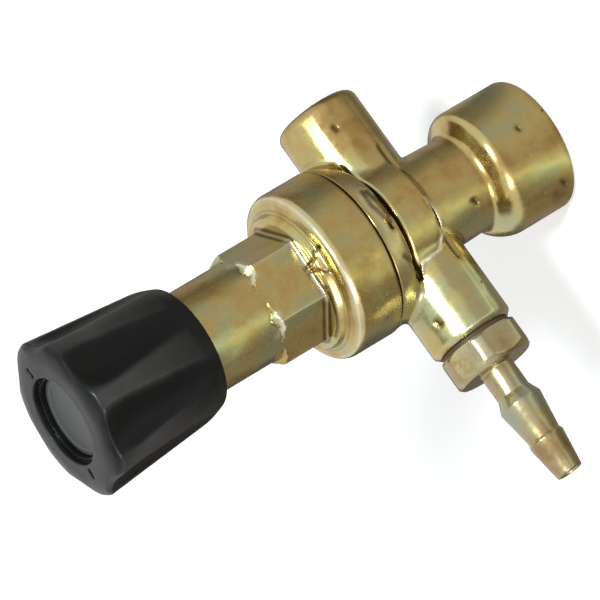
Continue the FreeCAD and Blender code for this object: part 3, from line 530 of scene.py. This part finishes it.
def coil(name, coil_radius, wire_radius, low, high, turns):
    """Tube along a helix: the wire's circle stands in the plane of the axis, and what passes the ends is
    ground off level with them."""
    angles = np.linspace(0, 2 * np.pi * turns, COIL_STEPS * turns + 1)[:, None]
    round_wire = full_turn(WIRE_SIDES)[None, :]
    radius = coil_radius + wire_radius * np.cos(round_wire)
    height = low + (high - low) * angles / (2 * np.pi * turns) + wire_radius * np.sin(round_wire)
    height = np.clip(height, low, high)
    points = np.stack([radius * np.cos(angles), radius * np.sin(angles), height], axis=2).reshape(-1, 3)
    here = np.arange(len(points) - WIRE_SIDES).reshape(-1, WIRE_SIDES)
    beside = np.roll(here, -1, axis=1)
    faces = np.stack([here, here + WIRE_SIDES, beside + WIRE_SIDES, beside], axis=2).reshape(-1, 4).tolist()
    faces.append(list(range(WIRE_SIDES)))
    faces.append(list(range(len(points) - 1, len(points) - WIRE_SIDES - 1, -1)))
    return creased(name, points, faces, 40)


for node_name, coil_radius, wire_radius, turns, joint, travel in SPRINGS:
    low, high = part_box(node_name)[0][2] / MM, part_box(node_name)[1][2] / MM
    spring = coil(node_name + "_coil", coil_radius, wire_radius, low, high, turns)
    finish_piece(spring, spring_wire, "housing", "spring_steel", node_name)
    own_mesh(spring)

# Bonnet
# Brass like the body, screwed over the collar: clamping rim with a bevelled edge, stepped shoulder,
# a hexagon for the spanner whose corners were cut back roughly, and a round stem that the knob slides on.
RIM_RADIUS, RIM_FOOT, BEVEL_FOOT = 15.15, 39.8, 48.0
SHOULDER_RADIUS, SHOULDER_HEIGHT = 14.5, 48.75
STEP_RADIUS, STEP_HEIGHT, STEP_TOP = 12.5, 49.1, 50.65
STEM_RADIUS, STEM_TOP = 9.15, 80.0
INSIDE_RIM = 46.0
HEX_FLATS, HEX_TOP, HEX_CORNER = 18.3, 59.8, 10.5
HEX_TURN = math.radians(25.0)
SPRING_BORE, SPRING_FLOOR = 10.2, 47.9
BONNET_BORES = [(12.95, -OPEN, 45.7), (SPRING_BORE, -OPEN, SPRING_FLOOR), (7.0, -OPEN, 74.0),
                (4.0, -OPEN, OPEN)]
BONNET_CRACKS = [
    [(3.1, 8.5), (2.2, 7.8), (2.5, 7.0), (1.8, 6.0), (1.3, 5.4)],
    [(1.9, 4.7), (2.6, 4.9), (3.7, 4.6), (4.7, 4.6)],
    [(4.3, 2.1), (5.2, -0.1), (5.9, -2.4), (6.1, -4.4), (5.8, -5.8)],
]
CUT_BACK_MARKS = [
    [(-11.6, 5.3), (-9.8, 5.8), (-8.8, 5.5), (-8.5, 4.7), (-7.2, 4.1), (-7.8, 2.8)],
    [(-3.5, -2.1), (-3.0, -3.4), (-2.5, -4.4), (-3.8, -6.0)],
    [(-2.6, 9.2), (-1.6, 9.0), (0.6, 5.8), (4.0, 0.3)],
]
BONNET_STEP = 0.31


def bonnet_field(x, y, z):
    """Distance from the bonnet's surface: turned rim, step and stem welded together, with six flats whose
    corners waver where they were cut back, less the stepped bore."""
    radius = np.hypot(x, y)
    angle = np.arctan2(y, x)
    bevel = 0.756 * (radius - RIM_RADIUS) + 0.655 * (z - BEVEL_FOOT)
    shoulder = 0.172 * (radius - SHOULDER_RADIUS) + 0.985 * (z - SHOULDER_HEIGHT)
    rim = shared(shared(shared(radius - RIM_RADIUS, RIM_FOOT - z, 0.15), bevel, 0.5), shoulder, 0.35)
    step = shared(0.928 * (radius - STEP_RADIUS) + 0.371 * (z - STEP_HEIGHT), z - STEP_TOP, 0.45)
    step = np.maximum(step, INSIDE_RIM - z)
    stem = np.maximum(shared(radius - STEM_RADIUS, z - STEM_TOP, 0.6), INSIDE_RIM - z)
    flats = 0
    for turn in (HEX_TURN, HEX_TURN + np.pi / 3, HEX_TURN + 2 * np.pi / 3):
        flats = np.maximum(flats, np.abs(x * np.cos(turn) + y * np.sin(turn)))
    waver = 0.5 * np.sin(3 * angle + 0.6) + 0.35 * np.sin(11 * angle) + 0.12 * np.sin(23 * angle + 1.0)
    end = 0.75 * (z - HEX_TOP - waver) + 0.66 * (radius - 9.7)
    hexagon = shared(flats - HEX_FLATS / 2, radius - HEX_CORNER, 0.08)
    hexagon = np.maximum(np.maximum(hexagon, end), INSIDE_RIM - z)
    turned = welded(welded(rim, step, 0.3), np.minimum(stem, hexagon), 0.5)
    drill_point = np.maximum(0.7071 * (radius - SPRING_BORE + z - SPRING_FLOOR), radius - SPRING_BORE)
    formed = np.maximum(turned, -np.minimum(bored(radius, z, BONNET_BORES), drill_point))
    for line in BONNET_CRACKS:
        formed = formed + 0.16 * mark(x, y, z, line, 0.32)
    return formed


def bonnet_stain_and_highlight(x, y, z):
    """Brown in the cracks and at the seam, a painted highlight on the near side of the bevel, and bright
    along the marks of cut-back corners.
    """
    brown = bell(z - RIM_FOOT, 0.28)
    for line in BONNET_CRACKS:
        brown = brown + 1.2 * mark(x, y, z, line, 0.3)
    # painted highlight along the bevel, on the near side only
    from_bevel = np.hypot(np.hypot(x, y) - 14.85, z - 48.4)
    bright = np.clip(-y - 1.0, 0, 1) * bell(from_bevel, 0.3)
    for line in CUT_BACK_MARKS:
        bright = bright + mark(x, y, z, line, 0.4)
    return np.clip(brown, 0, 1) - 0.6 * np.clip(bright, 0, 1)


bonnet = skin(
    "bonnet_turning", bonnet_field, bonnet_stain_and_highlight, (-15.6, -15.6, 39.4), (15.6, 15.6, 80.6), BONNET_STEP)
finish_piece(bonnet, forging_brass, "housing", "forged_brass", "bonnet")

# Knob
# Moulded black plastic, fluted and tapered, with a domed front edge; it slides over the stem of the bonnet.
# Its crests are painted paler and its flutes darker, a painted light and shade, and two short dashes are
# pressed into the front ring.
KNOB_FOOT, KNOB_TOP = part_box("knob")[0][2] / MM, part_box("knob")[1][2] / MM
CAP_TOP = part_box("knob_cap")[1][2] / MM
KNOB_FOOT_RADIUS = 12.0
KNOB_TOP_RADIUS = 14.5
KNOB_SKIRT = 2.3
KNOB_SLOPE = (KNOB_TOP_RADIUS - KNOB_FOOT_RADIUS) / (KNOB_TOP - KNOB_FOOT - KNOB_SKIRT)
KNOB_LOBES = 7
FLUTE_RADIUS = 8.5
FLUTE_BOTTOM = 11.7
FLUTE_FLARE = 1.5
FLUTE_ANGLE = math.radians(284.4)
CROWN_WIDTH = 4.4
CROWN_DROP = 2.2
RECESS_RADIUS = 7.25
RECESS_LIP = 7.95
DASH_ANGLES = (358.0, 163.0)
DASH_RADIUS = 9.5
CORE_RADIUS, CORE_DEPTH = 9.5, 4.8
HUB_RADIUS, HUB_FOOT = 6.6, 86.0
DRIVE_HALF = 2.9
CAP_THICKNESS = 1.4
KNOB_STEP = 0.3


def taper_radius(z):
    """Radius of the knob's crests at a height."""
    return KNOB_FOOT_RADIUS + KNOB_SLOPE * (z - KNOB_FOOT - KNOB_SKIRT)


def knob_field(x, y, z):
    """Distance from the knob's surface: a taper shared with a domed front, less the leaning round flutes,
    the stepped recess and two dashes in front, and the deep core round the hub behind."""
    radius = np.hypot(x, y)
    angle = np.arctan2(y, x)
    height = z - KNOB_FOOT
    side = 0.994 * (radius - taper_radius(z))
    foot = 0.93 * (radius - 11.15) - 0.37 * (height - 0.5)
    taper = shared(shared(side, foot, 0.3), -height, 0.25)
    # the front edge is a quarter of an ellipse
    across = np.maximum(radius - KNOB_TOP_RADIUS + CROWN_WIDTH, 0.001) / CROWN_WIDTH
    along = np.maximum(z - KNOB_TOP + CROWN_DROP, 0.001) / CROWN_DROP
    reach = np.hypot(across, along)
    front = (reach - 1) * reach / np.hypot(across / CROWN_WIDTH, along / CROWN_DROP)
    taper = shared(taper, front, 0.4)
    # the flutes get shallower and their edges softer towards the front
    pitch = 2 * np.pi / KNOB_LOBES
    turn = (angle - FLUTE_ANGLE + pitch / 2) % pitch - pitch / 2
    middle = FLUTE_BOTTOM + FLUTE_FLARE * np.clip((z - KNOB_TOP + 6.5) / 5.5, 0, 1) ** 2 + FLUTE_RADIUS
    flute = np.hypot(radius * np.cos(turn) - middle, radius * np.sin(turn)) - FLUTE_RADIUS
    near_front = np.clip((z - KNOB_TOP + 5.0) / 3.5, 0, 1)
    outside = shared(taper, -flute, 0.5 + 0.9 * near_front)
    recess = bored(radius, z, [(RECESS_RADIUS, CAP_TOP - CAP_THICKNESS, OPEN), (5.0, CAP_TOP - 5.2, OPEN)])
    step = np.maximum(radius - RECESS_LIP, KNOB_TOP - 0.75 - z + 0.5 * (RECESS_RADIUS - radius))
    core = np.maximum(np.maximum(radius - CORE_RADIUS, HUB_RADIUS - radius), z - KNOB_TOP + CORE_DEPTH)
    under_hub = np.maximum(radius - HUB_RADIUS, z - HUB_FOOT)
    drive = np.maximum(np.abs(y), 0.866 * np.abs(x) + 0.5 * np.abs(y)) - DRIVE_HALF
    drive = np.maximum(drive, z - CAP_TOP + 5.0)
    hollow = np.minimum(np.minimum(recess, step), np.minimum(core, np.minimum(under_hub, drive)))
    for dash_angle in np.radians(DASH_ANGLES):
        along = x * np.cos(dash_angle) + y * np.sin(dash_angle) - DASH_RADIUS
        across = y * np.cos(dash_angle) - x * np.sin(dash_angle)
        dash = np.hypot(np.maximum(np.abs(along) - 0.5, 0), across) - 0.45
        hollow = np.minimum(hollow, np.maximum(dash, KNOB_TOP - 0.5 - z))
    return shared(outside, -hollow, 0.15)


def knob_painted_light(x, y, z):
    """Painted light and shade, from minus one on the lit crests to one deep in the shaded flutes and in the
    recess, by the depth below the taper; the front ring is a little below nought."""
    radius = np.hypot(x, y)
    toward_front = np.clip((z - KNOB_FOOT - 3.0) / 14.0, 0, 1)
    outer = np.clip(1.6 * (taper_radius(z) - radius) - 0.2 - 0.8 * toward_front, -1, 1)
    front = np.clip((z - KNOB_TOP + 2.0) / 1.5, 0, 1) * (radius > 7.9)
    return np.where(radius < 7.9, 1.0, outer) * (1 - front) - 0.25 * front


def moulded_black():
    """Glossy black moulding with painted light: paler and shinier on the crests, darker and less shiny deep
    in the flutes.
    """
    material, tree, shader, node = new_material("knob_plastic")
    place = object_place(node)
    grain = noise(node, place, 2600.0, 4.0, 0.6)
    scuffs = noise(node, place, 170.0, 4.0, 0.65)
    # painted light and shade by depth: paler and shinier on the crests, darker and less shiny in the flutes
    # and recess
    depth = node("ShaderNodeAttribute", attribute_name="stain_and_painted_light").outputs["Fac"]
    uneven = maths(node, "ADD", depth, spread(node, scuffs, 0.3, 0.7, -0.14, 0.14))
    share = spread(node, uneven, -1.2, 1.0, 0.0, 1.0)
    feed(tree, shader, {
        "Base Color": ramp(node, share, [
            (0.0, (0.030, 0.030, 0.031)),
            (0.2, (0.014, 0.014, 0.0145)),
            (0.5, (0.006, 0.006, 0.0063)),
            (0.9, (0.004, 0.004, 0.0042)),
        ]),
        "Specular IOR Level": spread(node, share, 0.05, 0.55, 0.55, 0.14),
        "Roughness": spread(node, grain, 0.3, 0.7, 0.27, 0.36),
        "Normal": relief(node, grain, 0.4, 0.00002, under=relief(node, scuffs, 0.5, 0.00012)),
    })
    return material


knob = skin("knob_moulding", knob_field, knob_painted_light, (-15.2, -15.2, 72.0), (15.2, 15.2, 98.4), KNOB_STEP)
finish_piece(knob, moulded_black(), "knob_and_screw", "knob_plastic", "knob")

# Knob cap
# A plain plastic disc, slightly dished, pressed into the recess of the knob over its screw.
# It is a closed section turned round the main axis, which it misses by a hair so that it closes on itself.
CAP_RADIUS = 7.2
POLE_RADIUS = 0.02


def with_arcs(corners, steps=5):
    """Outline through (radius, height, rounding) corners, each rounding as a tangent arc of a few steps."""
    points = np.array([corner[:2] for corner in corners], float)
    outline = []
    for index, corner in enumerate(corners):
        here = points[index]
        rounding = corner[2] if len(corner) > 2 else 0
        back = points[index - 1] - here
        ahead = points[(index + 1) % len(points)] - here
        back_length = np.hypot(*back)
        ahead_length = np.hypot(*ahead)
        back = back / back_length
        ahead = ahead / ahead_length
        half = math.acos(np.clip(back @ ahead, -1, 1)) / 2
        setback = min(rounding / math.tan(half), 0.45 * back_length, 0.45 * ahead_length)
        if setback < 1e-6:
            outline.append(here)
            continue
        radius = setback * math.tan(half)
        middle = here + (back + ahead) / np.hypot(*(back + ahead)) * radius / math.sin(half)
        start = here + back * setback - middle
        stop = here + ahead * setback - middle
        share = np.linspace(0, 1, steps + 1)[:, None]
        bend = math.pi - 2 * half
        arc = (np.sin((1 - share) * bend) * start + np.sin(share * bend) * stop) / math.sin(bend)
        outline.extend(middle + arc)
    return np.array(outline)


def refined(outline, longest):
    """The closed outline with extra points on runs longer than a given length."""
    result = []
    for start, stop in zip(outline, np.roll(outline, -1, axis=0)):
        count = max(1, int(np.ceil(np.hypot(*(stop - start)) / longest)))
        share = np.arange(count)[:, None] / count
        result.append(start + share * (stop - start))
    return np.concatenate(result)


def turned_grid(section, angles):
    """Radius and height of a closed section at each of the angles."""
    return section[:, :1] * np.ones(len(angles)), section[:, 1:] * np.ones(len(angles))


def lathe_grid(corners, longest):
    """Closed section turned round the Z axis."""
    angles = full_turn(TURN_STEPS)
    return loop_grid(*turned_grid(refined(with_arcs(corners), longest), angles), angles)


cap_points, cap_faces = lathe_grid([
    (CAP_RADIUS, CAP_TOP - CAP_THICKNESS),
    (CAP_RADIUS, CAP_TOP, 0.25),
    (6.4, CAP_TOP, 0.3),
    (6.0, CAP_TOP - 0.15, 0.3),
    (3.0, CAP_TOP - 0.3),
    (POLE_RADIUS, CAP_TOP - 0.35),
    (POLE_RADIUS, CAP_TOP - CAP_THICKNESS),
], 0.5)
cap_plastic = grained("cap_plastic", (0.05, 0.05, 0.051), 0.42, 2600.0, 0.00002)
cap = creased("cap_disc", cap_points, cap_faces, 40)
finish_piece(cap, cap_plastic, "knob_and_screw", "cap_plastic", "knob_cap")

# Hose tail and its washer
# Turned brass, a little greyer than the forging: hexagon with bevelled corners, neck and two barbs,
# screwed into the outlet boss against a red-brown fibre washer.
WASHER_FACE, WASHER_RADIUS, WASHER_BORE = 23.2, 6.5, 5.0
TAIL_START, TAIL_SEAT, TAIL_HEX_END, TAIL_END = 15.6, 24.0, 29.3, 50.3
TAIL_SCREW, TAIL_CORNER, TAIL_FLAT, TAIL_NECK, TAIL_BORE = 4.9, 7.6, 7.0, 3.0, 1.5
TAIL_TURN = math.radians(-6.5)
TAIL_STEPS = 120
CORNER_SPREAD = np.array([-0.04, -0.015, -0.004, 0, 0.004, 0.015, 0.04])


def to_outlet(points):
    """Lays points made along +Z onto the outlet axis, pointing to -X."""
    return np.stack([-points[:, 2], points[:, 1], points[:, 0] + CROSS_HEIGHT], axis=1)


def tail_grid():
    """Turned section with the hexagon added: there the radius is the flat over the cosine of the angle from
    the flat's middle, where that is less than the turned one. Extra angles stand close to each corner, so
    that it stays crisp."""
    section = refined(with_arcs([
        (TAIL_SCREW, TAIL_START, 0.5),
        (TAIL_SCREW, TAIL_SEAT),
        (7.1, TAIL_SEAT),
        (TAIL_CORNER, TAIL_SEAT + 0.5),
        (TAIL_CORNER, TAIL_HEX_END - 1.0),
        (6.6, TAIL_HEX_END, 0.15),
        (TAIL_NECK, TAIL_HEX_END, 0.3),
        (TAIL_NECK, 34.3, 0.4),
        (3.88, 36.3, 0.5),
        (2.95, 43.0, 0.2),
        (3.25, 43.6, 0.5),
        (2.35, TAIL_END, 0.5),
        (1.7, TAIL_END, 0.2),
        (TAIL_BORE, TAIL_END - 0.5),
        (TAIL_BORE, TAIL_START),
    ], 6), 0.3)
    corners = (np.arange(6)[:, None] * np.pi / 3 + TAIL_TURN + CORNER_SPREAD) % (2 * np.pi)
    angles = np.sort(np.concatenate([full_turn(TAIL_STEPS), corners.ravel()]))
    angles = angles[np.concatenate([[True], np.diff(angles) > 1e-3])]
    radius, height = turned_grid(section, angles)
    flat = TAIL_FLAT / np.cos((angles - TAIL_TURN) % (np.pi / 3) - np.pi / 6)
    on_hexagon = (height > TAIL_SEAT - 0.01) & (height < TAIL_HEX_END + 0.01) & (radius > 6.0)
    return loop_grid(np.where(on_hexagon, np.minimum(radius, flat), radius), height, angles)


tail_points, tail_faces = tail_grid()
tail_brass = forged_brass("tail_brass", (0.84, 0.88, 1.25), 0.25)
tail = creased("hose_tail_turning", to_outlet(tail_points), tail_faces, 30)
finish_piece(tail, tail_brass, "housing", "turned_brass", "hose_tail")
washer_points, washer_faces = lathe_grid([
    (WASHER_RADIUS, WASHER_FACE, 0.15),
    (WASHER_RADIUS, TAIL_SEAT, 0.15),
    (WASHER_BORE, TAIL_SEAT),
    (WASHER_BORE, WASHER_FACE),
], 0.4)
fibre = grained("red_fibre", (0.07, 0.03, 0.014), 0.6, 4000.0, 0.00004)
washer = creased("fibre_washer", to_outlet(washer_points), washer_faces, 40)
finish_piece(washer, fibre, "housing", "fibre", "tail_washer")

# Floor and light
# A pale floor, a soft lamp above the camera with a weak mint one higher up, and a weaker lamp from the outlet
# side. The room is white to the camera and in shines, but a glowing card just over the floor, which only
# shiny surfaces see, paints reflections that give the brass its darker tones.
FLOOR_RADIUS, FLOOR_GLOW = 1500.0, 0.45
CARD_RADIUS, CARD_HEIGHT = 500.0, 0.3
SHEET_SIDES = 64
ROOM_LIGHT = 0.45


def sheet(name, radius, height, material):
    """Round sheet that lies level at a height."""
    angles = full_turn(SHEET_SIDES)
    points = np.stack([radius * np.cos(angles), radius * np.sin(angles), 0 * angles + height], axis=1)
    piece = made_piece(name, points, [list(range(SHEET_SIDES))])
    piece.data.materials.append(material)
    return piece


def looked_at(node):
    """One for rays from the camera, off shiny surfaces and through glass, and nought for all others."""
    seen = node("ShaderNodeLightPath").outputs
    shown = maths(node, "MAXIMUM", seen["Is Camera Ray"], seen["Is Glossy Ray"])
    return maths(node, "MAXIMUM", shown, seen["Is Transmission Ray"])


def pale_floor():
    """Floor whose own glow where it is looked at makes it white, with the shadow kept."""
    material, tree, shader, node = new_material("pale_floor")
    feed(tree, shader, {"Base Color": (0.8, 0.8, 0.8, 1), "Roughness": 0.9, "Specular IOR Level": 0.0})
    strength = maths(node, "MULTIPLY", looked_at(node), FLOOR_GLOW)
    glow = node("ShaderNodeEmission", {"Color": (1, 1, 1, 1), "Strength": strength}).outputs[0]
    both = node("ShaderNodeAddShader", {0: shader.outputs[0], 1: glow}).outputs[0]
    feed(tree, tree.nodes["Material Output"], {"Surface": both})
    return material


def studio_card():
    """Glowing card that only shines show: a painted reflection, standing in for dark paper round a bright
    object, and brighter than white where it stands in for a light. Its shade goes by the bearing from the
    regulator, from -X over -Y, +X and +Y back to -X: pale between the outlet and the front, middling in
    front, and darker on the other sides."""
    material, tree, _, node = new_material("studio_card")
    place = node("ShaderNodeSeparateXYZ", {0: object_place(node)}).outputs
    bearing = maths(node, "ARCTAN2", place["Y"], place["X"])
    shade = ramp(node, spread(node, bearing, -math.pi, math.pi, 0.0, 1.0), [
        (0.02, (0.30, 0.27, 0.23)),
        (0.075, (0.42, 0.39, 0.33)),
        (0.115, (0.80, 0.88, 0.72)),
        (0.135, (1.20, 1.32, 1.10)),
        (0.16, (0.85, 0.88, 0.76)),
        (0.19, (0.64, 0.60, 0.54)),
        (0.26, (0.70, 0.63, 0.56)),
        (0.36, (0.66, 0.60, 0.54)),
        (0.43, (0.34, 0.31, 0.27)),
        (0.50, (0.22, 0.20, 0.18)),
        (0.56, (0.46, 0.42, 0.38)),
        (0.62, (0.42, 0.39, 0.36)),
        (0.67, (0.13, 0.12, 0.10)),
        (0.82, (0.12, 0.11, 0.10)),
        (0.89, (0.36, 0.32, 0.27)),
    ])
    # the card's glow is a painted reflection, not a lamp
    glow = node("ShaderNodeEmission", {"Color": shade, "Strength": 1.0}).outputs[0]
    feed(tree, tree.nodes["Material Output"], {"Surface": glow})
    return material


def turned_to(direction, up):
    """Rotation whose Z points along a direction and whose Y is as near as can be to up."""
    back = direction / np.linalg.norm(direction)
    right = np.cross(up, back)
    right /= np.linalg.norm(right)
    return np.stack([right, np.cross(back, right), back], axis=1)


def set_place(thing, place, rotation):
    """Puts a lamp or the camera at a place in metres, turned by a rotation."""
    matrix = np.eye(4)
    matrix[:3, :3] = rotation
    matrix[:3, 3] = place
    thing.matrix_world = Matrix(matrix.tolist())


def soft_lamp(name, direction, distance, size, power, tint=(1.0, 1.0, 1.0)):
    """Square area lamp that shines at the regulator from a direction, its distance and side in metres."""
    lamp = bpy.data.lights.new(name, "AREA")
    lamp.size = size
    lamp.energy = power
    lamp.color = tint
    thing = bpy.data.objects.new(name, lamp)
    direction = np.array(direction) / np.linalg.norm(direction)
    upright = turned_to(direction, np.array([0.0, 0.0, 1.0]))
    set_place(thing, CAMERA_TARGET * MM + distance * direction, upright)
    bpy.context.scene.collection.objects.link(thing)


def white_room():
    """World that is plain white where it is looked at; all else gets a weaker, even light from it."""
    world = bpy.data.worlds.new("white_room")
    world.use_nodes = True
    tree = world.node_tree
    node = node_adder(tree)
    strength = spread(node, looked_at(node), 0.0, 1.0, ROOM_LIGHT, 1.0)
    feed(tree, tree.nodes["Background"], {"Color": (1, 1, 1, 1), "Strength": strength})
    return world


floor = sheet("floor", FLOOR_RADIUS, 0.0, pale_floor())
soft_lamp("key_lamp", (0.12, -0.70, 0.70), 0.6, 0.12, 2.6)
soft_lamp("mint_lamp", (0.14, -0.59, 0.80), 0.6, 0.12, 0.9, (0.45, 1.0, 0.82))
soft_lamp("side_lamp", (-0.80, -0.59, 0.35), 0.7, 0.25, 1.6)
card = sheet("studio_card", CARD_RADIUS, CARD_HEIGHT, studio_card())
card.visible_camera = False
card.visible_diffuse = False
card.visible_transmission = False
card.visible_shadow = False
bpy.context.scene.world = white_room()

# Camera
# At the photograph's angle, rolled so that the regulator lies across the picture.
# It stands far off with a long lens, so that near and far parts keep nearly the same scale.
CAMERA_DISTANCE = 1111.2
CAMERA_LENS = 405.6
lens = bpy.data.cameras.new("camera")
lens.sensor_width = 36
lens.lens = CAMERA_LENS
lens.clip_start = 0.05
lens.clip_end = 10
camera = bpy.data.objects.new("camera", lens)
facing = turned_to(TOWARD_CAMERA, IMAGE_UP)
set_place(camera, (CAMERA_TARGET + CAMERA_DISTANCE * facing[:, 2]) * MM, facing)
bpy.context.scene.collection.objects.link(camera)
bpy.context.scene.camera = camera
bpy.context.scene.view_settings.view_transform = "Standard"
